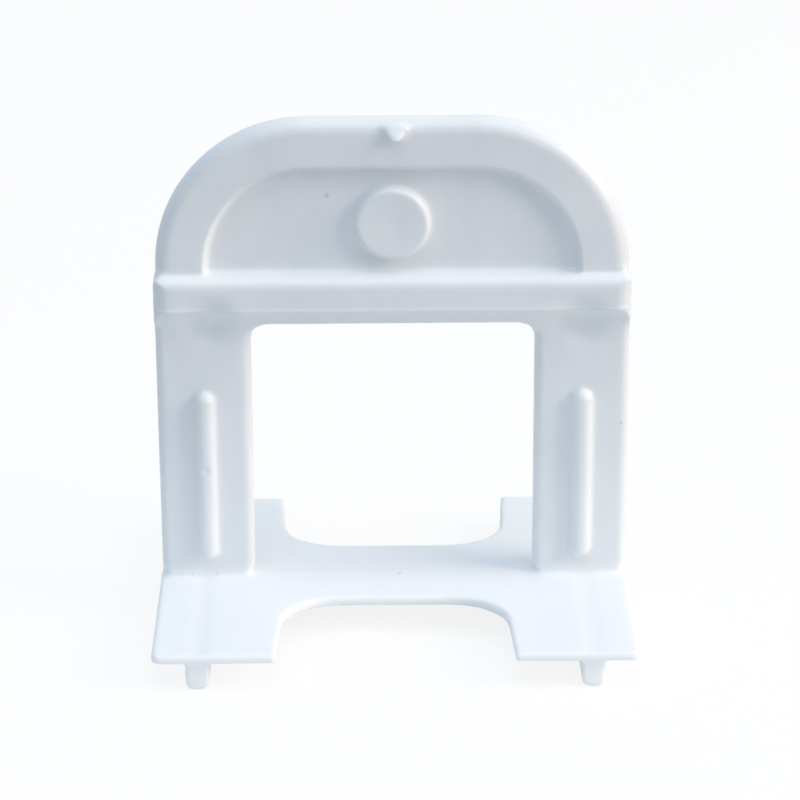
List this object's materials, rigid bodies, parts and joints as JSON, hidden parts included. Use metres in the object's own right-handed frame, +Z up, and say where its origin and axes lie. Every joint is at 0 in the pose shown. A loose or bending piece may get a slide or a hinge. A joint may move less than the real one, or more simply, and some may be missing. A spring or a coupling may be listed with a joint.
{
  "type": "tile levelling clip",
  "caption": "Moulded plastic tile levelling clip: a notched base plate on skids, two ribbed legs round a wedge window, and a shouldered bar under an arched head with a recess and a round boss.",
  "frame": {"origin": "middle of the clip at the level of the skids' undersides", "axes": "+Z up along the legs, +X across the clip from leg to leg, -Y towards the front with the recess and the boss"},
  "size_m": [0.0326, 0.027, 0.0358],
  "materials": {
    "white_plastic": "satin, as moulded"
  },
  "bodies": {
    "root": {"levelling_clip": "white_plastic"}
  },
  "joints": []
}
